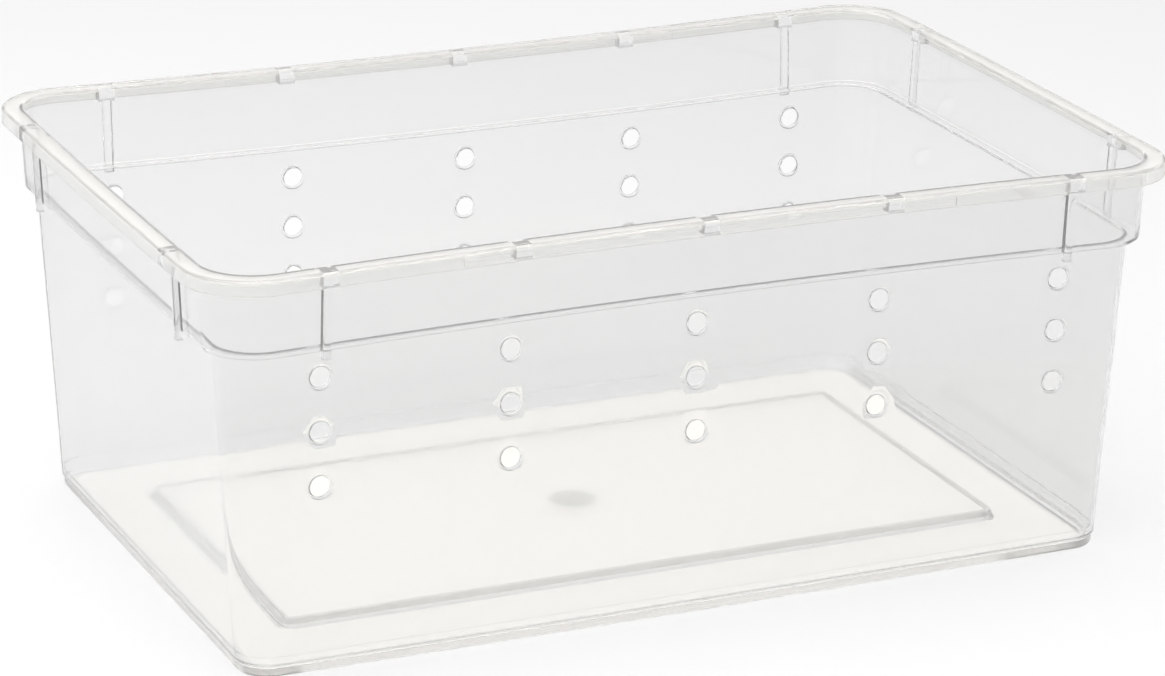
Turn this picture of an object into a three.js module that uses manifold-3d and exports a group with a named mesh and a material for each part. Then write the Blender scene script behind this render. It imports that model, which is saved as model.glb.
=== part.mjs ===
// Vented refrigerator bin: one injection-moulded body of clear polypropylene, open at the top.
// Millimetres, +Z up, X along the long side. The origin is the middle of the underside.
import * as THREE from 'three';
import { mergeVertices } from 'three/addons/utils/BufferGeometryUtils.js';
import Module from 'manifold-3d';

// Overall size, over the rim
const LENGTH = 355;
const WIDTH = 236.5;
const HEIGHT = 142.5;

// Walls, given as the step in from the rim's outer edge
const WALL = 1.2;
const BASE_INSET = 17.2;
const NECK_INSET = 10.8;
const FOOT_HEIGHT = 4.4;
const FOOT_STEP = 0.5;
const FOOT_ROUND = 2.0;
const FLOOR_THICKNESS = 2.2;
const FLOOR_FILLET = 5.0;

// Collar: the wider upper band that stands on a ledge
const COLLAR_DEPTH = 29;
const COLLAR_BOTTOM_INSET = 7.1;
const COLLAR_TOP_INSET = 5.9;
const COLLAR_ROUND = 1.6;

// Rim: a flat lip with a turned-down skirt
const RIM_THICKNESS = 1.4;
const RIM_ROUND = 1.5;
const RIM_INNER_ROUND = 0.5;
const SKIRT_DEPTH = 5.6;
const SKIRT_WALL = 1.2;
const SKIRT_EDGE_ROUND = 0.4;

// Corners in plan: radius at the rim's edge and how fast it tightens with the inset
const RIM_CORNER = 25;
const CORNER_TIGHTENING = 0.8;

// Middle of the long walls drawn in, and of the short walls pushed out
const LONG_WALL_PULL_BASE = -1.8;
const LONG_WALL_PULL_NECK = 7.5;
const LONG_WALL_PULL_RIM = 6.5;
const SHORT_WALL_PUSH_RIM = 1.0;

// Raised floor panel with a shallow pocket under it; margins are measured from the body's base
const PANEL_END_MARGIN = 25.3;
const PANEL_SIDE_MARGIN = 33.25;
const PANEL_RISE = 2.8;
const PANEL_CORNER = 4.5;
const GATE_RADIUS = 10;
const GATE_DEPTH = 0.4;

// Vents: five columns of three holes in each long wall, set in from the ends and down from the ledge
const VENT_RADIUS = 3.5;
const VENT_COLUMNS = 5;
const VENT_ROWS = 3;
const VENT_END_DISTANCE = 42.7;
const VENT_ROW_PITCH = 18.9;
const VENT_TOP_DROP = 10;

// Webs inside the rim, set in from the sides, with dips above them and ribs down the collar by the corners
const WEB_WIDTH = 5.6;
const SIDE_WEB_DISTANCE = 44.75;
const DIP_LENGTH = 8;
const DIP_DEPTH = 0.7;
const DIP_HEIGHT = 0.8;
const RIB_WIDTH = 3.2;
const RIB_RAISE = 2.3;
const RIB_ROOT = 0.15;
const RIB_OVERHANG = 2.3;

// Lid catch: a shallow band along the skirt of each long side
const CATCH_END_DISTANCE = 88.5;
const CATCH_TOP = 2.2;
const CATCH_BOTTOM = 4.7;
const CATCH_DEPTH = 0.45;

// Facets
const CORNER_STEPS = 6;
const LONG_STEPS = 8;
const SHORT_STEPS = 4;
const PROFILE_STEPS = 2;
const VENT_SIDES = 12;
const RIB_STEPS = 8;
const DIP_SIDES = 40;
const OVERLAP = 0.3;
const OUTSIDE = 5;

const HALF_LENGTH = LENGTH / 2;
const HALF_WIDTH = WIDTH / 2;
const LEDGE_HEIGHT = HEIGHT - COLLAR_DEPTH;
const COLUMN_PITCH = (LENGTH - 2 * VENT_END_DISTANCE) / (VENT_COLUMNS - 1);

const manifold = await Module();
manifold.setup();

// Inset of the body's outer face at a height between the base and the ledge
function bodyInset(z) {
  return BASE_INSET + (NECK_INSET - BASE_INSET) * z / LEDGE_HEIGHT;
}

// Inset of the collar's outer face at a height between the ledge and the rim
function collarInset(z) {
  const share = (z - LEDGE_HEIGHT) / (COLLAR_DEPTH - RIM_THICKNESS);
  return COLLAR_BOTTOM_INSET + (COLLAR_TOP_INSET - COLLAR_BOTTOM_INSET) * share;
}

// Moves a point with the bow of the walls: long walls inward at mid-length, short walls outward
function bow(point) {
  const up = THREE.MathUtils.clamp(point.z / LEDGE_HEIGHT, 0, 1);
  const collar = THREE.MathUtils.clamp((point.z - LEDGE_HEIGHT) / COLLAR_DEPTH, 0, 1);
  const lower = THREE.MathUtils.lerp(LONG_WALL_PULL_BASE, LONG_WALL_PULL_NECK, up);
  const pull = THREE.MathUtils.lerp(lower, LONG_WALL_PULL_RIM, collar);
  const alongX = point.x / HALF_LENGTH;
  const alongY = point.y / HALF_WIDTH;
  point.y -= pull * alongY * Math.max(0, 1 - alongX * alongX);
  point.x += SHORT_WALL_PUSH_RIM * up * alongX * Math.max(0, 1 - alongY * alongY);
  return point;
}

// One turn of the rounded rectangle that lies the given inset inside the rim's outer edge
function outline(inset) {
  const halfX = HALF_LENGTH - inset;
  const halfY = HALF_WIDTH - inset;
  const radius = RIM_CORNER - CORNER_TIGHTENING * inset;
  const quarters = [[1, 1], [-1, 1], [-1, -1], [1, -1]];
  const points = [];
  quarters.forEach(([signX, signY], quarter) => {
    const centre = new THREE.Vector2(signX * (halfX - radius), signY * (halfY - radius));
    for (let step = 0; step <= CORNER_STEPS; step += 1) {
      const angle = (quarter + step / CORNER_STEPS) * Math.PI / 2;
      const spoke = new THREE.Vector2(Math.cos(angle), Math.sin(angle)).multiplyScalar(radius);
      points.push(spoke.add(centre));
    }
    const last = points.at(-1);
    const onLongSide = quarter % 2 === 0;
    const next = onLongSide ? new THREE.Vector2(-last.x, last.y) : new THREE.Vector2(last.x, -last.y);
    const steps = onLongSide ? LONG_STEPS : SHORT_STEPS;
    for (let step = 1; step < steps; step += 1) {
      points.push(last.clone().lerp(next, step / steps));
    }
  });
  return points;
}

// Section through wall, collar and rim: x is the inset from the rim's edge, y the height
function wallSection() {
  const footInset = bodyInset(FOOT_HEIGHT) + FOOT_STEP;
  const shoulder = collarInset(LEDGE_HEIGHT);
  const underRim = HEIGHT - RIM_THICKNESS;
  const skirtEnd = HEIGHT - SKIRT_DEPTH;
  const rimInside = COLLAR_TOP_INSET + WALL;
  const ledgeTop = LEDGE_HEIGHT + WALL;
  const neckInside = bodyInset(LEDGE_HEIGHT) + WALL;
  const floorInside = bodyInset(FLOOR_THICKNESS) + WALL;
  const section = new THREE.Path();
  section.moveTo(footInset + FOOT_ROUND, 0);
  section.quadraticCurveTo(footInset, 0, footInset, FOOT_ROUND);
  section.lineTo(bodyInset(FOOT_HEIGHT), FOOT_HEIGHT);
  section.lineTo(bodyInset(LEDGE_HEIGHT), LEDGE_HEIGHT);
  section.lineTo(shoulder + COLLAR_ROUND, LEDGE_HEIGHT);
  section.quadraticCurveTo(shoulder, LEDGE_HEIGHT, shoulder, LEDGE_HEIGHT + COLLAR_ROUND);
  section.lineTo(COLLAR_TOP_INSET, underRim);
  section.lineTo(SKIRT_WALL, underRim);
  section.lineTo(SKIRT_WALL, skirtEnd + SKIRT_EDGE_ROUND);
  section.lineTo(SKIRT_WALL - SKIRT_EDGE_ROUND, skirtEnd);
  section.lineTo(SKIRT_EDGE_ROUND, skirtEnd);
  section.lineTo(0, skirtEnd + SKIRT_EDGE_ROUND);
  section.lineTo(0, HEIGHT - RIM_ROUND);
  section.quadraticCurveTo(0, HEIGHT, RIM_ROUND, HEIGHT);
  section.lineTo(rimInside - RIM_INNER_ROUND, HEIGHT);
  section.lineTo(rimInside, HEIGHT - RIM_INNER_ROUND);
  section.lineTo(shoulder + WALL, ledgeTop);
  section.lineTo(neckInside - WALL, ledgeTop);
  section.quadraticCurveTo(neckInside, ledgeTop, neckInside, LEDGE_HEIGHT);
  section.lineTo(floorInside, FLOOR_THICKNESS + FLOOR_FILLET);
  section.quadraticCurveTo(floorInside, FLOOR_THICKNESS, floorInside + FLOOR_FILLET, FLOOR_THICKNESS);
  return section.getPoints(PROFILE_STEPS);
}

// Turned geometry whose rings are moved out onto rounded rectangles
function shellGeometry() {
  const section = wallSection();
  const rings = section.map((point) => outline(point.x));
  const profile = section.map((point) => new THREE.Vector2(HALF_WIDTH - point.x, point.y));
  profile.unshift(new THREE.Vector2(0, 0));
  profile.push(new THREE.Vector2(0, FLOOR_THICKNESS));
  const turns = rings[0].length;
  const geometry = new THREE.LatheGeometry(profile, turns);
  const position = geometry.getAttribute('position');
  const point = new THREE.Vector3();
  for (let turn = 0; turn <= turns; turn += 1) {
    profile.forEach((level, index) => {
      const ring = rings[index - 1];
      const onAxis = level.x === 0;
      const place = onAxis ? new THREE.Vector2(0, 0) : ring[turn % turns];
      bow(point.set(place.x, place.y, level.y));
      position.setXYZ(turn * profile.length + index, point.x, point.y, point.z);
    });
  }
  return geometry;
}

// Solid of a closed geometry, turned right side out
function solid(geometry) {
  const bare = geometry.clone();
  bare.deleteAttribute('normal');
  bare.deleteAttribute('uv');
  const merged = mergeVertices(bare, 1e-4);
  const index = merged.getIndex().array;
  const corners = merged.getAttribute('position');
  const faces = [];
  let volume = 0;
  for (let start = 0; start < index.length; start += 3) {
    const [a, b, c] = index.slice(start, start + 3);
    if (a !== b && b !== c && c !== a) {
      faces.push([a, b, c]);
      const [pa, pb, pc] = [a, b, c].map((id) => new THREE.Vector3().fromBufferAttribute(corners, id));
      volume += pa.dot(pb.cross(pc));
    }
  }
  const outward = volume > 0 ? faces : faces.map(([a, b, c]) => [a, c, b]);
  const vertProperties = new Float32Array(corners.array);
  const triVerts = new Uint32Array(outward.flat());
  const mesh = new manifold.Mesh({ numProp: 3, vertProperties, triVerts });
  return new manifold.Manifold(mesh);
}

// Moves every point of a small feature with the bow of the wall that carries it
function followBow(geometry) {
  const position = geometry.getAttribute('position');
  const point = new THREE.Vector3();
  for (let index = 0; index < position.count; index += 1) {
    bow(point.fromBufferAttribute(position, index));
    position.setXYZ(index, point.x, point.y, point.z);
  }
  return geometry;
}

// Box between two corners, with extra cuts along X where it must bend with the wall
function box(low, high, cutsX = 1) {
  const size = high.map((value, axis) => value - low[axis]);
  const middle = high.map((value, axis) => (value + low[axis]) / 2);
  return new THREE.BoxGeometry(...size, cutsX, 1, 1).translate(...middle);
}

// Upright prism with rounded corners, centred on the origin in plan
function roundedPrism(lengthX, widthY, radius, bottom, top) {
  const halfX = lengthX / 2;
  const halfY = widthY / 2;
  const shape = new THREE.Shape();
  shape.absarc(halfX - radius, halfY - radius, radius, 0, Math.PI / 2);
  shape.absarc(radius - halfX, halfY - radius, radius, Math.PI / 2, Math.PI);
  shape.absarc(radius - halfX, radius - halfY, radius, Math.PI, 1.5 * Math.PI);
  shape.absarc(halfX - radius, radius - halfY, radius, 1.5 * Math.PI, 2 * Math.PI);
  const settings = { depth: top - bottom, bevelEnabled: false, curveSegments: 5 };
  return new THREE.ExtrudeGeometry(shape, settings).translate(0, 0, bottom);
}

// Upright cylinder between two heights
function post(x, y, radius, bottom, top, sides) {
  const cylinder = new THREE.CylinderGeometry(radius, radius, top - bottom, sides);
  return cylinder.rotateX(Math.PI / 2).translate(x, y, (top + bottom) / 2);
}

// Positions along a row, centred on zero
function centredRow(count, pitch) {
  return Array.from({ length: count }, (_, index) => (index - (count - 1) / 2) * pitch);
}

// Where the webs sit: the wall's place along the rim and the way it faces
function webStations() {
  const stations = [];
  for (const side of [-1, 1]) {
    centredRow(VENT_COLUMNS, COLUMN_PITCH).forEach((x, column) => {
      const byCorner = column === 0 || column === VENT_COLUMNS - 1;
      stations.push({ along: x, reach: HALF_WIDTH, turn: side * Math.PI / 2, byCorner });
    });
    centredRow(2, WIDTH - 2 * SIDE_WEB_DISTANCE).forEach((y) => {
      const turn = side > 0 ? 0 : Math.PI;
      stations.push({ along: y, reach: HALF_LENGTH, turn, byCorner: true });
    });
  }
  return stations;
}

// Turns a feature made at the +X rim to its own side of the bin and slides it along
function toStation(geometry, station) {
  const along = Math.abs(Math.sin(station.turn)) > 0.5
    ? new THREE.Vector3(station.along, 0, 0)
    : new THREE.Vector3(0, station.along, 0);
  geometry.rotateZ(station.turn).translate(along.x, along.y, 0);
  return followBow(geometry);
}

function web(station) {
  const low = [station.reach - COLLAR_TOP_INSET - OVERLAP, -WEB_WIDTH / 2, HEIGHT - SKIRT_DEPTH + OVERLAP];
  const high = [station.reach - SKIRT_WALL + OVERLAP, WEB_WIDTH / 2, HEIGHT - RIM_THICKNESS + OVERLAP];
  return toStation(box(low, high), station);
}

function dip(station) {
  const half = DIP_LENGTH / 2;
  const radius = (half * half + DIP_DEPTH * DIP_DEPTH) / (2 * DIP_DEPTH);
  const edge = station.reach - COLLAR_TOP_INSET - WALL + DIP_DEPTH;
  return toStation(post(edge - radius, 0, radius, HEIGHT - DIP_HEIGHT, HEIGHT + OUTSIDE, DIP_SIDES), station);
}

function rib(station) {
  const bottom = LEDGE_HEIGHT - RIB_OVERHANG;
  const top = HEIGHT - RIM_THICKNESS + OVERLAP;
  const half = RIB_WIDTH / 2;
  const shape = new THREE.Shape();
  shape.moveTo(-RIB_ROOT, -half);
  shape.absellipse(0, 0, RIB_RAISE, half, -Math.PI / 2, Math.PI / 2);
  shape.lineTo(-RIB_ROOT, half);
  const settings = { depth: top - bottom, bevelEnabled: false, curveSegments: RIB_STEPS };
  const prism = new THREE.ExtrudeGeometry(shape, settings).translate(0, 0, bottom);
  const lean = (COLLAR_BOTTOM_INSET - COLLAR_TOP_INSET) / (COLLAR_DEPTH - RIM_THICKNESS);
  const position = prism.getAttribute('position');
  for (let index = 0; index < position.count; index += 1) {
    const out = lean * (position.getZ(index) - LEDGE_HEIGHT);
    position.setX(index, position.getX(index) + station.reach - COLLAR_BOTTOM_INSET + out);
  }
  return toStation(prism, station);
}

function catchBand(side) {
  const face = side * HALF_WIDTH;
  const ends = [face - side * CATCH_DEPTH, face + side * OUTSIDE].sort((a, b) => a - b);
  const reach = HALF_LENGTH - CATCH_END_DISTANCE;
  const low = [-reach, ends[0], HEIGHT - CATCH_BOTTOM];
  const high = [reach, ends[1], HEIGHT - CATCH_TOP];
  return followBow(box(low, high, LONG_STEPS));
}

function vent(x, z, side) {
  const middle = side * (HALF_WIDTH - bodyInset(z) - WALL / 2);
  const drill = new THREE.CylinderGeometry(VENT_RADIUS, VENT_RADIUS, 2 * OUTSIDE + WALL, VENT_SIDES);
  return followBow(drill.translate(x, middle, z));
}

function ventDrills() {
  const drills = [];
  for (const side of [-1, 1]) {
    for (const x of centredRow(VENT_COLUMNS, COLUMN_PITCH)) {
      for (let row = 0; row < VENT_ROWS; row += 1) {
        drills.push(vent(x, LEDGE_HEIGHT - VENT_TOP_DROP - row * VENT_ROW_PITCH, side));
      }
    }
  }
  return drills;
}

function joinAll(start, geometries) {
  return geometries.reduce((body, geometry) => body.add(solid(geometry)), start);
}

function cutAll(start, geometries) {
  return geometries.reduce((body, geometry) => body.subtract(solid(geometry)), start);
}

function binGeometry() {
  const stations = webStations();
  const cornerStations = stations.filter((station) => station.byCorner);
  const panelTop = FLOOR_THICKNESS + PANEL_RISE;
  const panelLength = LENGTH - 2 * (BASE_INSET + PANEL_END_MARGIN);
  const panelWidth = WIDTH - 2 * (BASE_INSET + PANEL_SIDE_MARGIN);
  const panel = roundedPrism(panelLength, panelWidth, PANEL_CORNER, OVERLAP, panelTop);
  const pocketLength = panelLength - 2 * WALL;
  const pocketWidth = panelWidth - 2 * WALL;
  const pocket = roundedPrism(pocketLength, pocketWidth, PANEL_CORNER - WALL, -OUTSIDE, PANEL_RISE);
  const gate = post(0, 0, GATE_RADIUS, 0, PANEL_RISE + GATE_DEPTH, 2 * VENT_SIDES);
  const added = [panel, ...stations.map(web), ...cornerStations.map(rib)];
  const removed = [pocket, gate, catchBand(-1), catchBand(1), ...stations.map(dip), ...ventDrills()];
  const body = cutAll(joinAll(solid(shellGeometry()), added), removed);
  const mesh = body.getMesh();
  const geometry = new THREE.BufferGeometry();
  geometry.setAttribute('position', new THREE.Float32BufferAttribute(mesh.vertProperties, 3));
  geometry.setIndex([...mesh.triVerts]);
  geometry.computeVertexNormals();
  return geometry;
}

const clearPlastic = new THREE.MeshStandardMaterial({ color: 0xe9ecec, roughness: 0.2, metalness: 0 });
const bin = new THREE.Mesh(binGeometry(), clearPlastic);
bin.name = 'bin';

const part = new THREE.Group();
part.add(bin);

export default part;
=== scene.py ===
"""Clear vented refrigerator bin: the moulded body in fine detail, its plastic, the stage and the camera."""

import math

import bpy
import numpy as np
from mathutils import Matrix, Vector


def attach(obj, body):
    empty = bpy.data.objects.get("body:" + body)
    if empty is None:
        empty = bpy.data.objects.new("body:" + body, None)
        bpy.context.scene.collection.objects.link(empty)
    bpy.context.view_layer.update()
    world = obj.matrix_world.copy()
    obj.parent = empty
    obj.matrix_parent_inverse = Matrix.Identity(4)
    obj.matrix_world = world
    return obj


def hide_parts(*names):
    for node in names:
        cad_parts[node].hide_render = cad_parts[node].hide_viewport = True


bl_info = {
    "name": "Vented storage bin",
    "version": (1, 0, 0),
    "blender": (4, 5, 0),
    "location": "View3D > Sidebar > Bin",
    "description": "Builds a clear moulded bin with a rolled rim, vents and a raised floor panel",
    "category": "Add Mesh",
}

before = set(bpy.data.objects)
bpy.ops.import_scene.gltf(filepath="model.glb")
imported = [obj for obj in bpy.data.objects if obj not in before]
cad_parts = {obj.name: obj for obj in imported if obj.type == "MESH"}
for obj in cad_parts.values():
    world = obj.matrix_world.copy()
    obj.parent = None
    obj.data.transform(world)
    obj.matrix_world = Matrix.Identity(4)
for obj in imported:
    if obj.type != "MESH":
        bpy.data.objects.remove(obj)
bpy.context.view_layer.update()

BIN_NODE = "bin"
# Material slots of the shell. The milky rim slot also covers the two inner ledge corners, where it is a
# painted highlight: a brighter plastic standing in for light carried down through the collar wall.
WALL_ZONE, RIM_AND_HIGHLIGHT_ZONE, FLOOR_ZONE = 0, 1, 2
QUARTER_TURN = math.pi / 2
MM = 0.001


def size_property(name, default_mm, description):
    return bpy.props.FloatProperty(
        name=name,
        description=description,
        default=default_mm * MM,
        min=0.0,
        precision=5,
        subtype="DISTANCE",
        unit="LENGTH",
    )


def colour_property(name, default, description):
    return bpy.props.FloatVectorProperty(
        name=name,
        description=description,
        default=default,
        size=3,
        min=0.0,
        max=1.0,
        subtype="COLOR",
    )


class BinShape(bpy.types.PropertyGroup):
    """Sizes of the moulded body"""

    length: size_property("Length", 355.0, "Rim length at the corners")
    width: size_property("Width", 236.4, "Rim width at the corners")
    height: size_property("Height", 142.5, "Height of the rim's top face")
    wall: size_property("Wall", 1.2, "Wall thickness")
    rim_corner: size_property("Rim corner", 25.0, "Outer radius of the rim's corners in plan")
    base_inset: size_property("Base inset", 17.2, "How far the wall's foot lies inside the rim")
    neck_inset: size_property("Neck inset", 10.8, "How far the wall under the ledge lies inside the rim")
    collar_depth: size_property("Collar depth", 29.0, "Height of the wider band under the rim")
    collar_inset: size_property("Collar inset", 7.1, "How far the collar's foot lies inside the rim")
    collar_top_inset: size_property("Collar top inset", 5.9, "How far the collar's top lies inside the rim")
    skirt_depth: size_property("Skirt depth", 5.6, "Depth of the rim's turned-down skirt")
    rim_thickness: size_property("Rim thickness", 1.4, "Thickness of the rim's flat top")
    floor_thickness: size_property("Floor thickness", 2.2, "Thickness of the floor")
    panel_length: size_property("Panel length", 270.0, "Length of the raised floor panel")
    panel_width: size_property("Panel width", 135.6, "Width of the raised floor panel")
    panel_rise: size_property("Panel rise", 2.8, "Height of the panel over the floor")


class BinFeatures(bpy.types.PropertyGroup):
    """Vents, webs, ribs and the catch band"""

    vent_columns: bpy.props.IntProperty(
        name="Vent columns", description="Columns of vents in each long wall", default=5, min=1
    )
    vent_rows: bpy.props.IntProperty(
        name="Vent rows", description="Vents in each column", default=3, min=1
    )
    vent_radius: size_property("Vent radius", 3.5, "Radius of a vent")
    column_pitch: size_property("Column pitch", 67.4, "Spacing of the vent columns")
    row_pitch: size_property("Row pitch", 18.9, "Spacing of the vent rows")
    vent_top: size_property("Top vent height", 103.5, "Height of the top row of vents")
    web_width: size_property("Web width", 5.6, "Width of the webs inside the rim")
    side_spacing: size_property("Side web spacing", 147.0, "Spacing of the webs on a short side")
    rib_width: size_property("Rib width", 3.2, "Width of the ribs by the corners")
    rib_raise: size_property("Rib raise", 2.3, "How far a rib stands out of the collar")
    rib_overhang: size_property("Rib overhang", 2.3, "How far a rib reaches below the ledge")
    catch_length: size_property("Catch length", 178.0, "Length of the lid catch band")


class BinFinish(bpy.types.PropertyGroup):
    """Colours of the plastic and of the studio floor"""

    wall_tint: colour_property("Wall tint", (0.895, 0.9, 0.9), "Colour of the walls")
    # also the colour of the painted highlight on the inner ledge corners
    rim_tint: colour_property("Rim tint", (0.99, 0.98, 0.955), "Colour of the rim")
    floor_tint: colour_property("Floor tint", (0.995, 0.978, 0.947), "Colour of the floor")
    stage_colour: colour_property("Stage colour", (0.87, 0.87, 0.87), "Colour of the studio floor")


# ---------------------------------------------------------------- shape of the shell


def ledge_height(shape):
    return shape.height - shape.collar_depth


def body_inset(shape, z):
    return shape.base_inset + (shape.neck_inset - shape.base_inset) * z / ledge_height(shape)


LONG_PULL = (-1.8 * MM, 7.5 * MM, 6.5 * MM)
SHORT_PUSH = 1.0 * MM


def bow(shape, points):
    """Long walls drawn in at mid-length, short walls a little out; points is an array of x, y, z."""
    moved = np.array(points, dtype=float)
    ledge = ledge_height(shape)
    up = np.clip(moved[:, 2] / ledge, 0.0, 1.0)
    collar = np.clip((moved[:, 2] - ledge) / shape.collar_depth, 0.0, 1.0)
    lower = LONG_PULL[0] + (LONG_PULL[1] - LONG_PULL[0]) * up
    pull = lower + (LONG_PULL[2] - lower) * collar
    along_x = moved[:, 0] / (shape.length / 2)
    along_y = moved[:, 1] / (shape.width / 2)
    moved[:, 1] -= pull * along_y * np.maximum(0.0, 1.0 - along_x**2)
    moved[:, 0] += SHORT_PUSH * up * along_x * np.maximum(0.0, 1.0 - along_y**2)
    return moved


CORNER_TIGHTENING = 0.8
CORNER_STEPS = 20
LONG_STEPS = 72
SHORT_STEPS = 44


def outline(shape, inset):
    """Points of the rounded rectangle that lies the inset inside the rim's outer edge."""
    half = Vector((shape.length / 2 - inset, shape.width / 2 - inset))
    radius = shape.rim_corner - CORNER_TIGHTENING * inset
    points = []
    for quarter, (sign_x, sign_y) in enumerate(((1, 1), (-1, 1), (-1, -1), (1, -1))):
        centre = Vector((sign_x * (half.x - radius), sign_y * (half.y - radius)))
        for step in range(CORNER_STEPS + 1):
            angle = (quarter + step / CORNER_STEPS) * QUARTER_TURN
            points.append(centre + radius * Vector((math.cos(angle), math.sin(angle))))
        last = points[-1]
        on_long_side = quarter % 2 == 0
        following = Vector((-last.x, last.y)) if on_long_side else Vector((last.x, -last.y))
        steps = LONG_STEPS if on_long_side else SHORT_STEPS
        points.extend(last.lerp(following, step / steps) for step in range(1, steps))
    return points


class Section:
    """The wall's section, drawn as a pen line of (inset, height, zone) points."""

    def __init__(self, inset, height, zone):
        self.points = [(inset, height, zone)]

    def line(self, inset, height, zone, longest=6 * MM):
        start = self.points[-1]
        reach = math.hypot(inset - start[0], height - start[1])
        steps = max(1, math.ceil(reach / longest))
        for step in range(1, steps + 1):
            share = step / steps
            self.points.append(
                (start[0] + (inset - start[0]) * share, start[1] + (height - start[1]) * share, zone)
            )

    def curve(self, corner, end, zone, steps=6):
        """Rounds a corner: from the pen to end, bending at the corner."""
        start = self.points[-1]
        for step in range(1, steps + 1):
            t = step / steps
            inset = (1 - t) ** 2 * start[0] + 2 * t * (1 - t) * corner[0] + t * t * end[0]
            height = (1 - t) ** 2 * start[1] + 2 * t * (1 - t) * corner[1] + t * t * end[1]
            self.points.append((inset, height, zone))


FOOT_HEIGHT = 4.4 * MM
FOOT_STEP = 0.7 * MM
FOOT_ROUND = 2.0 * MM
FLOOR_FILLET = 5.0 * MM
FILLET_EDGE = 0.25 * MM
SMALL_ROUND = 0.35 * MM
LEDGE_ROUND = 0.6 * MM
COLLAR_ROUND = 0.9 * MM
RIM_ROUND = 1.5 * MM
RIM_INNER_ROUND = 1.1 * MM
FLAT_MARGIN = 1.0 * MM  # flat strip that keeps a rounded edge from shading the face beside it


def wall_section(shape):
    """Outside from the foot up, over the rim, and down the inside to the floor."""
    ledge = ledge_height(shape)
    top = shape.height
    wall = shape.wall
    foot = body_inset(shape, FOOT_HEIGHT) + FOOT_STEP
    neck = body_inset(shape, ledge)
    shoulder = shape.collar_inset
    under_rim = top - shape.rim_thickness
    skirt_end = top - shape.skirt_depth
    ledge_top = ledge + wall
    collar_top = shape.collar_top_inset
    rim_inside = collar_top + wall
    neck_inside = neck + wall
    floor = shape.floor_thickness
    floor_inside = body_inset(shape, floor) + wall
    crease = SMALL_ROUND
    pen = Section(foot + FOOT_ROUND, 0.0, WALL_ZONE)
    pen.curve((foot, 0.0), (foot, FOOT_ROUND), WALL_ZONE, steps=8)
    pen.curve((foot, FOOT_HEIGHT), (foot - FOOT_STEP, FOOT_HEIGHT + crease), WALL_ZONE, steps=3)
    pen.line(body_inset(shape, ledge - crease), ledge - crease, WALL_ZONE)
    pen.curve((neck, ledge), (neck - crease, ledge), WALL_ZONE, steps=4)
    pen.line(shoulder + COLLAR_ROUND, ledge, WALL_ZONE)
    pen.curve((shoulder, ledge), (shoulder, ledge + COLLAR_ROUND), WALL_ZONE)
    pen.line(collar_top, under_rim - crease, WALL_ZONE)
    pen.curve((collar_top, under_rim), (collar_top - crease, under_rim), RIM_AND_HIGHLIGHT_ZONE, steps=3)
    pen.line(wall + crease, under_rim, RIM_AND_HIGHLIGHT_ZONE)
    pen.curve((wall, under_rim), (wall, under_rim - crease), RIM_AND_HIGHLIGHT_ZONE, steps=3)
    pen.line(wall, skirt_end + crease, RIM_AND_HIGHLIGHT_ZONE)
    pen.curve((wall, skirt_end), (wall - crease, skirt_end), RIM_AND_HIGHLIGHT_ZONE, steps=4)
    pen.line(crease, skirt_end, RIM_AND_HIGHLIGHT_ZONE)
    pen.curve((0.0, skirt_end), (0.0, skirt_end + crease), RIM_AND_HIGHLIGHT_ZONE, steps=4)
    pen.line(0.0, top - RIM_ROUND, WALL_ZONE)
    pen.curve((0.0, top), (RIM_ROUND, top), RIM_AND_HIGHLIGHT_ZONE, steps=8)
    pen.line(rim_inside - RIM_INNER_ROUND, top, RIM_AND_HIGHLIGHT_ZONE)
    pen.curve((rim_inside, top), (rim_inside, top - RIM_INNER_ROUND), RIM_AND_HIGHLIGHT_ZONE, steps=5)
    pen.line(rim_inside, top - RIM_ROUND, RIM_AND_HIGHLIGHT_ZONE)
    pen.line(shoulder + wall, ledge_top + crease, WALL_ZONE)
    # Painted highlight: the inner corner of the ledge takes the milky rim plastic so it shows as a bright
    # line
    pen.curve((shoulder + wall, ledge_top), (shoulder + wall + crease, ledge_top), RIM_AND_HIGHLIGHT_ZONE, steps=3)
    pen.line(neck_inside - LEDGE_ROUND, ledge_top, WALL_ZONE)
    # Painted highlight: the ledge's inner edge takes the milky rim plastic too, for a bright line
    pen.curve((neck_inside, ledge_top), (neck_inside, ledge_top - LEDGE_ROUND), RIM_AND_HIGHLIGHT_ZONE)
    fillet_top = floor + FLOOR_FILLET
    above_fillet = body_inset(shape, fillet_top + FILLET_EDGE) + wall
    pen.line(above_fillet, fillet_top + FILLET_EDGE, WALL_ZONE)
    pen.line(floor_inside + FILLET_EDGE, fillet_top, WALL_ZONE)
    pen.curve((floor_inside, floor), (floor_inside + FLOOR_FILLET, floor), WALL_ZONE, steps=10)
    pen.line(floor_inside + FLOOR_FILLET + FLAT_MARGIN, floor, FLOOR_ZONE)
    return pen.points


def shell_mesh(shape):
    """Closed shell: rings of the section round the outline, with a cap under and one inside."""
    section = wall_section(shape)
    rings = [
        bow(shape, [(p.x, p.y, height) for p in outline(shape, inset)])
        for inset, height, _ in section
    ]
    count = len(rings[0])
    vertices = [tuple(point) for ring in rings for point in ring]
    faces = []
    zones = []
    for level in range(len(rings) - 1):
        for turn in range(count):
            after = (turn + 1) % count
            low, high = level * count, (level + 1) * count
            faces.append((low + turn, low + after, high + after, high + turn))
            zones.append(section[level + 1][2])
    faces.append(tuple(reversed(range(count))))
    faces.append(tuple((len(rings) - 1) * count + turn for turn in range(count)))
    zones.extend((FLOOR_ZONE, FLOOR_ZONE))
    mesh = bpy.data.meshes.new("Bin shell")
    mesh.from_pydata(vertices, [], faces)
    mesh.polygons.foreach_set("material_index", zones)
    mesh.update()
    return mesh


# ---------------------------------------------------------------- small helpers


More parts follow.
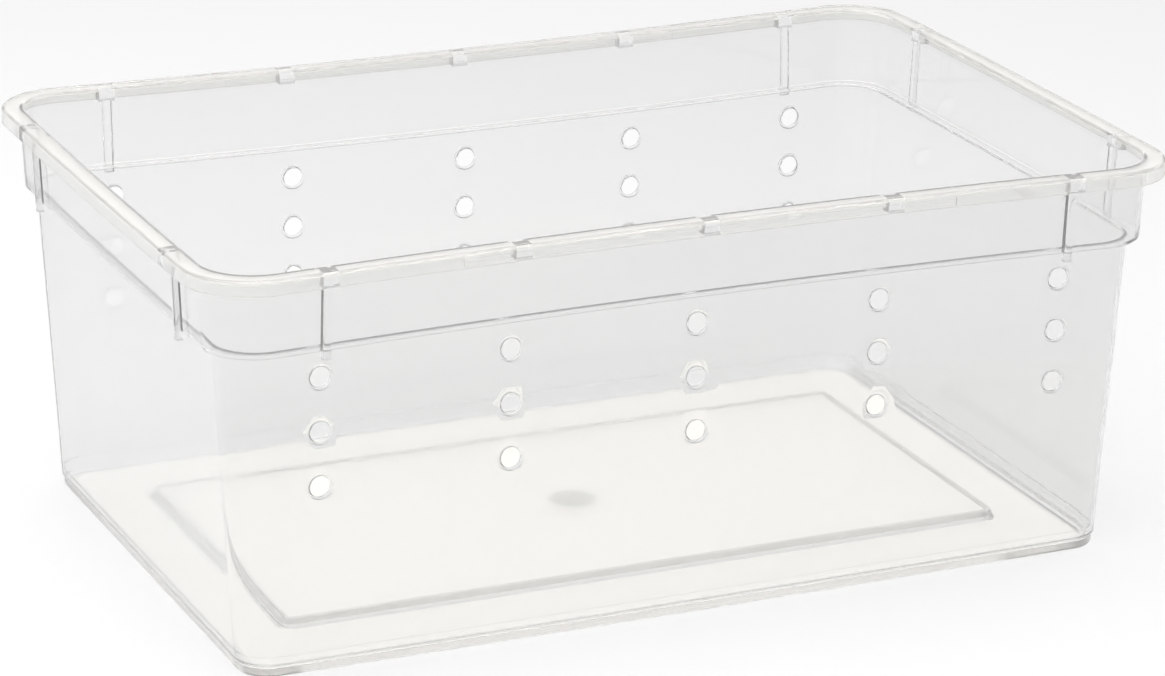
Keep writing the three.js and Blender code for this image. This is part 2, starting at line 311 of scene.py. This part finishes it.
def add_object(name, mesh, materials=()):
    made = bpy.data.objects.new(name, mesh)
    bpy.context.scene.collection.objects.link(made)
    for material in materials:
        mesh.materials.append(material)
    return made


def remove_object(made):
    mesh = made.data
    bpy.data.objects.remove(made)
    if mesh.users == 0:
        bpy.data.meshes.remove(mesh)


def evaluated_mesh(made):
    """Plain mesh of an object with its modifiers applied."""
    bpy.context.view_layer.update()
    graph = bpy.context.evaluated_depsgraph_get()
    return bpy.data.meshes.new_from_object(made.evaluated_get(graph), depsgraph=graph)


def combine(body, other, operation):
    """Joins other to body, or cuts it away, and drops other."""
    modifier = body.modifiers.new("Combine", "BOOLEAN")
    modifier.operation = operation
    modifier.solver = "MANIFOLD"
    modifier.object = other
    result = evaluated_mesh(body)
    body.modifiers.remove(modifier)
    old = body.data
    body.data = result
    bpy.data.meshes.remove(old)
    remove_object(other)
    if not result.polygons:
        raise RuntimeError("combining a feature with the bin left nothing")


def loft_mesh(name, rings):
    """Closed mesh through rings of points that run anticlockwise seen from the last ring."""
    count = len(rings[0])
    vertices = [tuple(point) for ring in rings for point in ring]
    last = (len(rings) - 1) * count
    faces = [tuple(reversed(range(count))), tuple(range(last, last + count))]
    for low in range(0, last, count):
        high = low + count
        faces += [
            (low + i, low + (i + 1) % count, high + (i + 1) % count, high + i) for i in range(count)
        ]
    mesh = bpy.data.meshes.new(name)
    mesh.from_pydata(vertices, [], faces)
    mesh.update()
    return mesh


def prism_mesh(name, outline_points, bottom, top):
    """Closed upright prism over a plan outline."""
    return loft_mesh(name, [[(x, y, z) for x, y in outline_points] for z in (bottom, top)])


def stepped_plate(name, length, width, radius, levels):
    """Closed plate of rounded rectangles: levels are (how far outside the given size, height)."""
    rings = []
    for outset, height in levels:
        plan = rounded_rectangle(length + 2 * outset, width + 2 * outset, radius + outset)
        rings.append([(x, y, height) for x, y in plan])
    mesh = loft_mesh(name, rings)
    zones = [FLOOR_ZONE, FLOOR_ZONE] + [WALL_ZONE] * (len(mesh.polygons) - 2)
    mesh.polygons.foreach_set("material_index", zones)
    return mesh


def turned_mesh(name, profile, sides, slope=0.0):
    """Closed solid turned about Y through (radius, y) points, leaning by slope with height."""
    rings = []
    for radius, y in profile:
        angles = [-2 * math.pi * side / sides for side in range(sides)]
        rings.append(
            [
                (radius * math.cos(a), y + slope * radius * math.sin(a), radius * math.sin(a))
                for a in angles
            ]
        )
    return loft_mesh(name, rings)


def rounded_rectangle(length, width, radius, steps=8):
    points = []
    for quarter, (sign_x, sign_y) in enumerate(((1, 1), (-1, 1), (-1, -1), (1, -1))):
        for step in range(steps + 1):
            angle = (quarter + step / steps) * QUARTER_TURN
            points.append(
                (
                    sign_x * (length / 2 - radius) + radius * math.cos(angle),
                    sign_y * (width / 2 - radius) + radius * math.sin(angle),
                )
            )
    return points


def follow_bow(shape, mesh):
    points = np.empty(len(mesh.vertices) * 3)
    mesh.vertices.foreach_get("co", points)
    mesh.vertices.foreach_set("co", bow(shape, points.reshape(-1, 3)).ravel())
    mesh.update()


# ---------------------------------------------------------------- repeated features


class Tree:
    """Short way to write a geometry node tree."""

    def __init__(self, name):
        self.group = bpy.data.node_groups.new(name, "GeometryNodeTree")
        self.inside = self.group.nodes.new("NodeGroupInput")
        self.outside = self.group.nodes.new("NodeGroupOutput")

    def socket(self, name, kind, way="INPUT"):
        self.group.interface.new_socket(name, in_out=way, socket_type=kind)

    def node(self, kind, **settings):
        made = self.group.nodes.new(kind)
        for key, value in settings.items():
            setattr(made, key, value)
        return made

    def link(self, source, target):
        self.group.links.new(source, target)

    def value(self, name):
        return self.inside.outputs[name]


def scatter_tree():
    """Instances of one feature on the points of a guide mesh, turned by the points' own angle."""
    tree = Tree("Features along the walls")
    tree.socket("Geometry", "NodeSocketGeometry")
    tree.socket("Feature", "NodeSocketObject")
    tree.socket("Scale", "NodeSocketFloat")
    tree.socket("Material", "NodeSocketMaterial")
    tree.socket("Geometry", "NodeSocketGeometry", "OUTPUT")
    feature = tree.node("GeometryNodeObjectInfo", transform_space="ORIGINAL")
    tree.link(tree.value("Feature"), feature.inputs["Object"])
    turn = tree.node("GeometryNodeInputNamedAttribute", data_type="FLOAT")
    turn.inputs["Name"].default_value = "turn"
    rotation = tree.node("ShaderNodeCombineXYZ")
    tree.link(turn.outputs["Attribute"], rotation.inputs["Z"])
    place = tree.node("GeometryNodeInstanceOnPoints")
    tree.link(tree.value("Geometry"), place.inputs["Points"])
    tree.link(feature.outputs["Geometry"], place.inputs["Instance"])
    tree.link(rotation.outputs["Vector"], place.inputs["Rotation"])
    tree.link(tree.value("Scale"), place.inputs["Scale"])
    real = tree.node("GeometryNodeRealizeInstances")
    tree.link(place.outputs["Instances"], real.inputs["Geometry"])
    paint = tree.node("GeometryNodeSetMaterial")
    tree.link(real.outputs["Geometry"], paint.inputs["Geometry"])
    tree.link(tree.value("Material"), paint.inputs["Material"])
    tree.link(paint.outputs["Geometry"], tree.outside.inputs["Geometry"])
    return tree.group


def set_input(modifier, name, value):
    """Sets a node modifier's input by its socket's identifier."""
    for item in modifier.node_group.interface.items_tree:
        if item.item_type == "SOCKET" and item.in_out == "INPUT" and item.name == name:
            modifier[item.identifier] = value
            return
    raise KeyError(name)


def repeat_feature(shape, name, feature_mesh, places, material):
    """One mesh of the feature at every place (x, y, z, turn), bent with the walls."""
    feature = add_object(name + " pattern", feature_mesh)
    guide_mesh = bpy.data.meshes.new(name + " guide")
    guide_mesh.from_pydata([place[:3] for place in places], [], [])
    turns = guide_mesh.attributes.new("turn", "FLOAT", "POINT")
    turns.data.foreach_set("value", [place[3] for place in places])
    guide = add_object(name + " guide", guide_mesh)
    modifier = guide.modifiers.new("Features", "NODES")
    tree = bpy.data.node_groups.get("Features along the walls") or scatter_tree()
    modifier.node_group = tree
    set_input(modifier, "Feature", feature)
    set_input(modifier, "Scale", 1.0)
    set_input(modifier, "Material", material)
    mesh = evaluated_mesh(guide)
    guide.modifiers.remove(modifier)
    remove_object(guide)
    remove_object(feature)
    follow_bow(shape, mesh)
    return add_object(name, mesh)


def centred_row(count, pitch):
    return [(index - (count - 1) / 2) * pitch for index in range(count)]


def web_places(shape, features, corners_only=False):
    """Places of the webs at the rim's outer edge, with the turn that faces each wall."""
    places = []
    columns = centred_row(features.vent_columns, features.column_pitch)
    for side in (-1, 1):
        for column, x in enumerate(columns):
            if not corners_only or column in (0, len(columns) - 1):
                places.append((x, side * shape.width / 2, 0.0, side * QUARTER_TURN))
        for y in centred_row(2, features.side_spacing):
            places.append((side * shape.length / 2, y, 0.0, 0.0 if side > 0 else math.pi))
    return places


VENT_SIDES = 40
LIP_WIDTH = 1.0 * MM
LIP_RAISE = 0.22 * MM
LIP_ROOT = 0.15 * MM
# Shares of the lip's width and raise, from its foot to its crown
LIP_PROFILE = ((1.0, 0.05), (0.75, 0.55), (0.5, 0.9), (0.25, 1.0))
# How far the drill's flare goes out and up, in lip raises, from inside the wall outwards
FLARE_PROFILE = ((0.0, -1.0), (0.25, 0.0), (0.8, 1.0), (1.6, 2.0))


def mirrored(profile):
    """Adds the other half of a (radius, y) profile, so it runs from -y to +y."""
    return [(radius, -y) for radius, y in reversed(profile)] + profile


def drill_mesh(shape, features):
    """Drill along Y whose ends flare out, so the vent's edges come out rounded."""
    radius = features.vent_radius
    face = shape.wall / 2
    flare = [(radius + out * LIP_RAISE, face + up * LIP_RAISE) for out, up in FLARE_PROFILE]
    flare.append((flare[-1][0], OUTSIDE))
    return turned_mesh("Drill", mirrored(flare), VENT_SIDES)


def lip_mesh(shape, features):
    """Low rounded lip that stands on both faces of the wall round a vent."""
    radius = features.vent_radius
    face = shape.wall / 2
    edge = [(radius + LIP_WIDTH + LIP_ROOT, face - LIP_ROOT)]
    edge += [(radius + across * LIP_WIDTH, face + up * LIP_RAISE) for across, up in LIP_PROFILE]
    slope = (shape.base_inset - shape.neck_inset) / ledge_height(shape)
    return turned_mesh("Lip", mirrored(edge), VENT_SIDES, slope)


def vent_places(shape, features):
    places = []
    for side in (-1, 1):
        for x in centred_row(features.vent_columns, features.column_pitch):
            for row in range(features.vent_rows):
                z = features.vent_top - row * features.row_pitch
                middle = shape.width / 2 - body_inset(shape, z) - shape.wall / 2
                places.append((x, side * middle, z, 0.0 if side > 0 else math.pi))
    return places


ROOT = 0.15 * MM
OVERLAP = 0.3 * MM
OUTSIDE = 5 * MM
DIP_LENGTH = 8 * MM
DIP_DEPTH = 0.7 * MM
DIP_HEIGHT = 0.8 * MM
CATCH_TOP = 2.2 * MM
CATCH_BOTTOM = 4.7 * MM
CATCH_DEPTH = 0.6 * MM
GATE_RADIUS = 10 * MM
GATE_DEPTH = 0.4 * MM
PANEL_CORNER = 4.5 * MM
PANEL_FOOT = 1.2 * MM
PANEL_ROUND = 0.9 * MM
BEAD_RISE = 0.35 * MM
BEAD_WIDTH = 2.2 * MM
PANEL_FOOT_EASE = (0.4, 0.45)  # shares of the panel's foot, across and up
NEAR_SHARE = 0.15  # a round edge's mid points, as shares of the round
FAR_SHARE = 0.45
BEAD_CROWN = 0.5  # shares of the bead's width, and of its rise on the inner slope
BEAD_SLOPE = 0.8
BEAD_SLOPE_RISE = 0.7
DIP_SIDES = 160
CATCH_STEPS = 48
RIB_CORNER = 1.0 * MM
RIB_CORNER_STEPS = 6
SHARP_ANGLE = math.radians(32)


def rib_mesh(shape, features):
    """Upright bar with rounded edges that leans with the collar and ends below the ledge."""
    half = features.rib_width / 2
    stand_out = features.rib_raise
    plan = [(-ROOT, -half)]
    for turn, side in ((-QUARTER_TURN, -1), (0.0, 1)):
        for step in range(RIB_CORNER_STEPS + 1):
            angle = turn + QUARTER_TURN * step / RIB_CORNER_STEPS
            plan.append(
                (
                    stand_out - RIB_CORNER + RIB_CORNER * math.cos(angle),
                    side * (half - RIB_CORNER) + RIB_CORNER * math.sin(angle),
                )
            )
    plan.append((-ROOT, half))
    ledge = ledge_height(shape)
    top = shape.height - shape.rim_thickness
    lean = (shape.collar_inset - shape.collar_top_inset) / (top - ledge)
    rings = []
    for z in (ledge - features.rib_overhang, ledge, top + OVERLAP):
        out = -shape.collar_inset + lean * max(0.0, z - ledge)
        rings.append([(x + out, y, z) for x, y in plan])
    return loft_mesh("Rib", rings)


def web_outline(shape, features):
    half = features.web_width / 2
    inner = -shape.collar_top_inset - OVERLAP
    outer = -shape.wall + OVERLAP
    return [(inner, -half), (outer, -half), (outer, half), (inner, half)]


def dip_outline(shape):
    half = DIP_LENGTH / 2
    radius = (half * half + DIP_DEPTH * DIP_DEPTH) / (2 * DIP_DEPTH)
    edge = -shape.collar_top_inset - shape.wall + DIP_DEPTH
    angles = [2 * math.pi * side / DIP_SIDES for side in range(DIP_SIDES)]
    return [(edge - radius + radius * math.cos(a), radius * math.sin(a)) for a in angles]


def catch_band(shape, features, side, plastic):
    """Bar that cuts the shallow catch band out of one long side of the skirt."""
    half = features.catch_length / 2
    face = side * shape.width / 2
    inner, outer = sorted((face - side * CATCH_DEPTH, face + side * OUTSIDE))
    xs = [half - 2 * half * step / CATCH_STEPS for step in range(CATCH_STEPS + 1)]
    points = [(x, outer) for x in xs] + [(x, inner) for x in reversed(xs)]
    mesh = prism_mesh("Catch", points, shape.height - CATCH_BOTTOM, shape.height - CATCH_TOP)
    follow_bow(shape, mesh)
    return add_object("Catch", mesh, [plastic])


def add_panel(body, shape, plastics):
    """Raised floor panel with a bead round its top, and the shallow pocket under it."""
    size = (shape.panel_length, shape.panel_width, PANEL_CORNER)
    floor = shape.floor_thickness
    top = floor + shape.panel_rise
    across, up = PANEL_FOOT_EASE
    raised = [
        (PANEL_FOOT, OVERLAP),
        (PANEL_FOOT, floor),
        (across * PANEL_FOOT, floor + up * PANEL_FOOT),
        (0.0, floor + PANEL_FOOT),
        (0.0, top - PANEL_ROUND),
        (-NEAR_SHARE * PANEL_ROUND, top - FAR_SHARE * PANEL_ROUND),
        (-FAR_SHARE * PANEL_ROUND, top - NEAR_SHARE * PANEL_ROUND + BEAD_RISE),
        (-BEAD_CROWN * BEAD_WIDTH, top + BEAD_RISE),
        (-BEAD_SLOPE * BEAD_WIDTH, top + BEAD_SLOPE_RISE * BEAD_RISE),
        (-BEAD_WIDTH, top),
        (-BEAD_WIDTH - FLAT_MARGIN, top),
    ]
    combine(body, add_object("Panel", stepped_plate("Panel", *size, raised), plastics), "UNION")
    hollow = [
        (PANEL_ROUND - shape.wall, -OUTSIDE),
        (PANEL_ROUND - shape.wall, 0.0),
        (-shape.wall, PANEL_ROUND),
        (-shape.wall, shape.panel_rise - PANEL_ROUND),
        (-shape.wall - PANEL_ROUND, shape.panel_rise),
    ]
    combine(body, add_object("Pocket", stepped_plate("Pocket", *size, hollow), plastics), "DIFFERENCE")


def add_gate(body, shape, floor_plastic):
    """Shallow round recess over the gate, in the pocket's roof."""
    plan = rounded_rectangle(2 * GATE_RADIUS, 2 * GATE_RADIUS, GATE_RADIUS)
    gate = prism_mesh("Gate", plan, -OUTSIDE, shape.panel_rise + GATE_DEPTH)
    combine(body, add_object("Gate", gate, [floor_plastic]), "DIFFERENCE")


def add_rim_details(body, shape, features, wall_plastic):
    """Webs under the rim, ribs by the corners, dips in the rim's top and the catch bands."""
    stations = web_places(shape, features)
    corner_stations = web_places(shape, features, corners_only=True)
    top = shape.height
    under_rim = top - shape.rim_thickness + OVERLAP
    web = prism_mesh("Web", web_outline(shape, features), top - shape.skirt_depth + OVERLAP, under_rim)
    combine(body, repeat_feature(shape, "Webs", web, stations, wall_plastic), "UNION")
    rib = rib_mesh(shape, features)
    combine(body, repeat_feature(shape, "Ribs", rib, corner_stations, wall_plastic), "UNION")
    dip = prism_mesh("Dip", dip_outline(shape), top - DIP_HEIGHT, top + OUTSIDE)
    combine(body, repeat_feature(shape, "Dips", dip, stations, wall_plastic), "DIFFERENCE")
    for side in (-1, 1):
        combine(body, catch_band(shape, features, side, wall_plastic), "DIFFERENCE")


def add_vents(body, shape, features, wall_plastic):
    """Lips first, then the holes through wall and lips."""
    vents = vent_places(shape, features)
    lips = repeat_feature(shape, "Lips", lip_mesh(shape, features), vents, wall_plastic)
    combine(body, lips, "UNION")
    drills = repeat_feature(shape, "Vents", drill_mesh(shape, features), vents, wall_plastic)
    combine(body, drills, "DIFFERENCE")


def build_body(shape, features, plastics):
    """The whole moulding as one closed mesh."""
    wall_plastic, floor_plastic = plastics[WALL_ZONE], plastics[FLOOR_ZONE]
    body = add_object("bin_body", shell_mesh(shape), plastics)
    add_panel(body, shape, plastics)
    add_gate(body, shape, floor_plastic)
    add_rim_details(body, shape, features, wall_plastic)
    add_vents(body, shape, features, wall_plastic)
    mesh = body.data
    mesh.polygons.foreach_set("use_smooth", [True] * len(mesh.polygons))
    mesh.set_sharp_from_angle(angle=SHARP_ANGLE)
    return body


# ---------------------------------------------------------------- plastic


def group_sockets(group, inputs, outputs):
    for way, names in (("INPUT", inputs), ("OUTPUT", outputs)):
        for name, kind in names:
            group.interface.new_socket(name, in_out=way, socket_type=kind)
    return group.nodes.new("NodeGroupInput"), group.nodes.new("NodeGroupOutput")


COLOUR, NUMBER = "NodeSocketColor", "NodeSocketFloat"
CLOUD_SCALE = 9.0
CLOUD_DETAIL = 1.0
RUB_SCALE = 60.0
RUB_DETAIL = 3.0
RUB_START = 0.45
RUB_FULL = 0.75
RUB_ROUGHNESS = 0.05


def flow_group():
    """Faint moulding flow: slow cloudiness, a slightly wavy surface and fine rub marks."""
    group = bpy.data.node_groups.new("Moulding flow", "ShaderNodeTree")
    inside, outside = group_sockets(
        group,
        (("Tint", COLOUR), ("Cloud", COLOUR), ("Cloudiness", NUMBER), ("Gloss", NUMBER)),
        (("Colour", COLOUR), ("Roughness", NUMBER), ("Height", NUMBER)),
    )
    nodes, links = group.nodes, group.links
    place = nodes.new("ShaderNodeTexCoord")
    slow = nodes.new("ShaderNodeTexNoise")
    slow.inputs["Scale"].default_value = CLOUD_SCALE
    slow.inputs["Detail"].default_value = CLOUD_DETAIL
    links.new(place.outputs["Object"], slow.inputs["Vector"])
    share = nodes.new("ShaderNodeMath")
    share.operation = "MULTIPLY"
    links.new(slow.outputs["Fac"], share.inputs[0])
    links.new(inside.outputs["Cloudiness"], share.inputs[1])
    mix = nodes.new("ShaderNodeMix")
    mix.data_type = "RGBA"
    links.new(share.outputs["Value"], mix.inputs["Factor"])
    links.new(inside.outputs["Tint"], mix.inputs["A"])
    links.new(inside.outputs["Cloud"], mix.inputs["B"])
    links.new(mix.outputs["Result"], outside.inputs["Colour"])
    fine = nodes.new("ShaderNodeTexNoise")
    fine.inputs["Scale"].default_value = RUB_SCALE
    fine.inputs["Detail"].default_value = RUB_DETAIL
    links.new(place.outputs["Object"], fine.inputs["Vector"])
    rub = nodes.new("ShaderNodeMapRange")
    rub.inputs["From Min"].default_value = RUB_START
    rub.inputs["From Max"].default_value = RUB_FULL
    rub.inputs["To Max"].default_value = RUB_ROUGHNESS
    links.new(fine.outputs["Fac"], rub.inputs["Value"])
    total = nodes.new("ShaderNodeMath")
    total.operation = "ADD"
    links.new(inside.outputs["Gloss"], total.inputs[0])
    links.new(rub.outputs["Result"], total.inputs[1])
    links.new(total.outputs["Value"], outside.inputs["Roughness"])
    links.new(slow.outputs["Fac"], outside.inputs["Height"])
    return group


MARK_COLOUR = (0.5, 0.5, 0.48, 1.0)
MARK_STRENGTH = 0.45
MARK_EDGE = 1.05  # where the mark starts and is full, in gate radii
MARK_CORE = 0.6


def gate_group():
    """Dull grey disc where the plastic entered the mould, strongest at its middle."""
    group = bpy.data.node_groups.new("Gate mark", "ShaderNodeTree")
    inside, outside = group_sockets(
        group,
        (("Colour", COLOUR), ("Mark", COLOUR), ("Radius", NUMBER), ("Strength", NUMBER)),
        (("Colour", COLOUR),),
    )
    nodes, links = group.nodes, group.links
    place = nodes.new("ShaderNodeTexCoord")
    flat = nodes.new("ShaderNodeVectorMath")
    flat.operation = "MULTIPLY"
    flat.inputs[1].default_value = (1.0, 1.0, 0.0)
    links.new(place.outputs["Object"], flat.inputs[0])
    distance = nodes.new("ShaderNodeVectorMath")
    distance.operation = "LENGTH"
    links.new(flat.outputs["Vector"], distance.inputs[0])
    ratio = nodes.new("ShaderNodeMath")
    ratio.operation = "DIVIDE"
    links.new(distance.outputs["Value"], ratio.inputs[0])
    links.new(inside.outputs["Radius"], ratio.inputs[1])
    fall = nodes.new("ShaderNodeMapRange")
    fall.interpolation_type = "SMOOTHSTEP"
    fall.inputs["From Min"].default_value = MARK_EDGE
    fall.inputs["From Max"].default_value = MARK_CORE
    links.new(ratio.outputs["Value"], fall.inputs["Value"])
    share = nodes.new("ShaderNodeMath")
    share.operation = "MULTIPLY"
    links.new(fall.outputs["Result"], share.inputs[0])
    links.new(inside.outputs["Strength"], share.inputs[1])
    mix = nodes.new("ShaderNodeMix")
    mix.data_type = "RGBA"
    links.new(share.outputs["Value"], mix.inputs["Factor"])
    links.new(inside.outputs["Colour"], mix.inputs["A"])
    links.new(inside.outputs["Mark"], mix.inputs["B"])
    links.new(mix.outputs["Result"], outside.inputs["Colour"])
    return group


REFRACTION = 1.49
RIPPLE_HEIGHT = 0.001
WALL_LOOK = {"cloud": (0.895, 0.895, 0.89), "clarity": 0.92, "gloss": 0.04, "ripple": 0.01, "shadow": 0.95}
# The rim's milky plastic, which also paints the highlight on the inner ledge corners
RIM_AND_HIGHLIGHT_LOOK = {"cloud": (0.99, 0.98, 0.96), "clarity": 0.75, "gloss": 0.05, "ripple": 0.0, "shadow": 0.93}
FLOOR_LOOK = {"cloud": (0.99, 0.977, 0.952), "clarity": 0.66, "gloss": 0.06, "ripple": 0.0, "shadow": 0.88}


def clear_plastic(name, tint, cloud, clarity, gloss, ripple, shadow):
    """Clear polypropylene: light goes through it, and a share is scattered by the milky part."""
    material = bpy.data.materials.new(name)
    material.use_nodes = True
    nodes, links = material.node_tree.nodes, material.node_tree.links
    shader = nodes["Principled BSDF"]
    flow = nodes.new("ShaderNodeGroup")
    flow.name = "Flow"
    flow.node_tree = bpy.data.node_groups.get("Moulding flow") or flow_group()
    flow.inputs["Tint"].default_value = (*tint, 1.0)
    flow.inputs["Cloud"].default_value = (*cloud, 1.0)
    flow.inputs["Cloudiness"].default_value = 1.0
    flow.inputs["Gloss"].default_value = gloss
    links.new(flow.outputs["Colour"], shader.inputs["Base Color"])
    links.new(flow.outputs["Roughness"], shader.inputs["Roughness"])
    if ripple:
        bump = nodes.new("ShaderNodeBump")
        bump.inputs["Strength"].default_value = ripple
        bump.inputs["Distance"].default_value = RIPPLE_HEIGHT
        links.new(flow.outputs["Height"], bump.inputs["Height"])
        links.new(bump.outputs["Normal"], shader.inputs["Normal"])
    shader.inputs["Metallic"].default_value = 0.0
    shader.inputs["Transmission Weight"].default_value = clarity
    shader.inputs["IOR"].default_value = REFRACTION
    let_light_through(material, shader, shadow)
    return material


def mark_gate(material, radius):
    """Adds the gate mark to the floor's plastic."""
    nodes, links = material.node_tree.nodes, material.node_tree.links
    mark = nodes.new("ShaderNodeGroup")
    mark.node_tree = gate_group()
    mark.inputs["Mark"].default_value = MARK_COLOUR
    mark.inputs["Radius"].default_value = radius
    mark.inputs["Strength"].default_value = MARK_STRENGTH
    links.new(nodes["Flow"].outputs["Colour"], mark.inputs["Colour"])
    links.new(mark.outputs["Colour"], nodes["Principled BSDF"].inputs["Base Color"])


def let_light_through(material, shader, shadow):
    """Lets lamp light pass the thin plastic straight, so it casts a pale shadow."""
    nodes, links = material.node_tree.nodes, material.node_tree.links
    path = nodes.new("ShaderNodeLightPath")
    clear = nodes.new("ShaderNodeBsdfTransparent")
    clear.inputs["Color"].default_value = (shadow, shadow, shadow, 1.0)
    choice = nodes.new("ShaderNodeMixShader")
    links.new(path.outputs["Is Shadow Ray"], choice.inputs["Fac"])
    links.new(shader.outputs["BSDF"], choice.inputs[1])
    links.new(clear.outputs["BSDF"], choice.inputs[2])
    links.new(choice.outputs["Shader"], nodes["Material Output"].inputs["Surface"])


# ---------------------------------------------------------------- stage


STAGE_HEIGHT = -0.4 * MM  # clear of the underside, or the two faces fight
STAGE_REACH = 6.0
STAGE_ROUGHNESS = 0.9
CAMERA_AZIMUTH = -114.14
CAMERA_ELEVATION = 19.18
CAMERA_ROLL = 0.76
CAMERA_DISTANCE = 1.66125
CAMERA_TARGET = (0.01093, 0.01745, 0.060)
CAMERA_LENS = 143.56
CAMERA_SHIFT = (0.00054, -0.0034)
SENSOR_WIDTH = 36.0
FAR_CLIP = 50.0


def add_camera():
    azimuth, elevation, roll = map(math.radians, (CAMERA_AZIMUTH, CAMERA_ELEVATION, CAMERA_ROLL))
    level = math.cos(elevation)
    back = Vector((level * math.cos(azimuth), level * math.sin(azimuth), math.sin(elevation)))
    right = Vector((0, 0, 1)).cross(back).normalized()
    up = back.cross(right)
    side = math.cos(roll) * right + math.sin(roll) * up
    head = math.cos(roll) * up - math.sin(roll) * right
    turn = Matrix((side, head, back)).transposed()
    data = bpy.data.cameras.new("Camera")
    data.lens = CAMERA_LENS
    data.sensor_width = SENSOR_WIDTH
    data.shift_x, data.shift_y = CAMERA_SHIFT
    data.clip_end = FAR_CLIP
    camera = bpy.data.objects.new("Camera", data)
    camera.matrix_world = Matrix.Translation(Vector(CAMERA_TARGET) + CAMERA_DISTANCE * back) @ turn.to_4x4()
    bpy.context.scene.collection.objects.link(camera)
    bpy.context.scene.camera = camera


def add_softbox(name, place, aim, size, power):
    data = bpy.data.lights.new(name, "AREA")
    data.shape = "RECTANGLE"
    data.size, data.size_y = size
    data.energy = power
    lamp = bpy.data.objects.new(name, data)
    lamp.location = place
    lamp.visible_transmission = False
    lamp.rotation_euler = (Vector(aim) - Vector(place)).to_track_quat("-Z", "Y").to_euler()
    bpy.context.scene.collection.objects.link(lamp)


HORIZON_LIGHT = 0.3
ZENITH_LIGHT = 0.9
FULL_LIGHT_HEIGHT = 0.6


def studio_world():
    """Soft white surround, dimmer towards the horizon."""
    world = bpy.data.worlds.new("Studio")
    world.use_nodes = True
    nodes, links = world.node_tree.nodes, world.node_tree.links
    place = nodes.new("ShaderNodeTexCoord")
    parts = nodes.new("ShaderNodeSeparateXYZ")
    links.new(place.outputs["Generated"], parts.inputs["Vector"])
    rise = nodes.new("ShaderNodeMapRange")
    rise.interpolation_type = "SMOOTHSTEP"
    rise.inputs["From Min"].default_value = 0.0
    rise.inputs["From Max"].default_value = FULL_LIGHT_HEIGHT
    rise.inputs["To Min"].default_value = HORIZON_LIGHT
    rise.inputs["To Max"].default_value = ZENITH_LIGHT
    links.new(parts.outputs["Z"], rise.inputs["Value"])
    links.new(rise.outputs["Result"], nodes["Background"].inputs["Strength"])
    nodes["Background"].inputs["Color"].default_value = (1.0, 1.0, 1.0, 1.0)
    return world


OVERHEAD = {"place": (-0.4, -0.05, 1.35), "aim": (0.0, 0.0, 0.0), "size": (1.2, 1.2), "power": 8.3}
FRONT = {"place": (-0.85, -1.6, 1.45), "aim": (0.0, 0.0, 0.05), "size": (1.1, 0.9), "power": 3.1}


def build_stage(finish):
    scene = bpy.context.scene
    scene.view_settings.view_transform = "Standard"
    scene.world = studio_world()
    reach = STAGE_REACH
    points = [(-reach, -reach), (reach, -reach), (reach, reach), (-reach, reach)]
    mesh = bpy.data.meshes.new("Studio floor")
    mesh.from_pydata([(x, y, STAGE_HEIGHT) for x, y in points], [], [(0, 1, 2, 3)])
    paint = bpy.data.materials.new("Studio floor")
    paint.use_nodes = True
    shader = paint.node_tree.nodes["Principled BSDF"]
    shader.inputs["Base Color"].default_value = (*finish.stage_colour, 1.0)
    shader.inputs["Roughness"].default_value = STAGE_ROUGHNESS
    floor = add_object("Studio floor", mesh, [paint])
    add_softbox("Overhead softbox", **OVERHEAD)
    add_softbox("Front softbox", **FRONT)
    add_camera()


# ---------------------------------------------------------------- operators


class BIN_OT_body(bpy.types.Operator):
    """Builds the moulded body of the bin"""

    bl_idname = "bin.build_body"
    bl_label = "Build bin body"

    def execute(self, context):
        scene = context.scene
        finish = scene.bin_finish
        plastics = (
            clear_plastic("Clear wall plastic", finish.wall_tint, **WALL_LOOK),
            clear_plastic("Milky rim plastic and painted highlight", finish.rim_tint, **RIM_AND_HIGHLIGHT_LOOK),
            clear_plastic("Milky floor plastic", finish.floor_tint, **FLOOR_LOOK),
        )
        mark_gate(plastics[FLOOR_ZONE], GATE_RADIUS)
        body = build_body(scene.bin_shape, scene.bin_features, plastics)
        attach(body, "root")
        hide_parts(BIN_NODE)
        return {"FINISHED"}


class BIN_OT_stage(bpy.types.Operator):
    """Builds the studio floor, the light and the camera"""

    bl_idname = "bin.build_stage"
    bl_label = "Build stage"

    def execute(self, context):
        build_stage(context.scene.bin_finish)
        return {"FINISHED"}


class BIN_PT_panel(bpy.types.Panel):
    """Sizes, finishes and build buttons"""

    bl_idname = "BIN_PT_panel"
    bl_label = "Vented storage bin"
    bl_space_type = "VIEW_3D"
    bl_region_type = "UI"
    bl_category = "Bin"

    def draw(self, context):
        layout = self.layout
        for group in (context.scene.bin_shape, context.scene.bin_features, context.scene.bin_finish):
            column = layout.column(align=True)
            for name in group.__annotations__:
                column.prop(group, name)
        layout.operator(BIN_OT_body.bl_idname)
        layout.operator(BIN_OT_stage.bl_idname)


CLASSES = (BinShape, BinFeatures, BinFinish, BIN_OT_body, BIN_OT_stage, BIN_PT_panel)


def register():
    for cls in CLASSES:
        bpy.utils.register_class(cls)
    bpy.types.Scene.bin_shape = bpy.props.PointerProperty(type=BinShape)
    bpy.types.Scene.bin_features = bpy.props.PointerProperty(type=BinFeatures)
    bpy.types.Scene.bin_finish = bpy.props.PointerProperty(type=BinFinish)


def unregister():
    del bpy.types.Scene.bin_shape
    del bpy.types.Scene.bin_features
    del bpy.types.Scene.bin_finish
    for cls in reversed(CLASSES):
        bpy.utils.unregister_class(cls)


def main():
    register()
    bpy.ops.bin.build_body()
    bpy.ops.bin.build_stage()


if __name__ == "__main__":
    main()
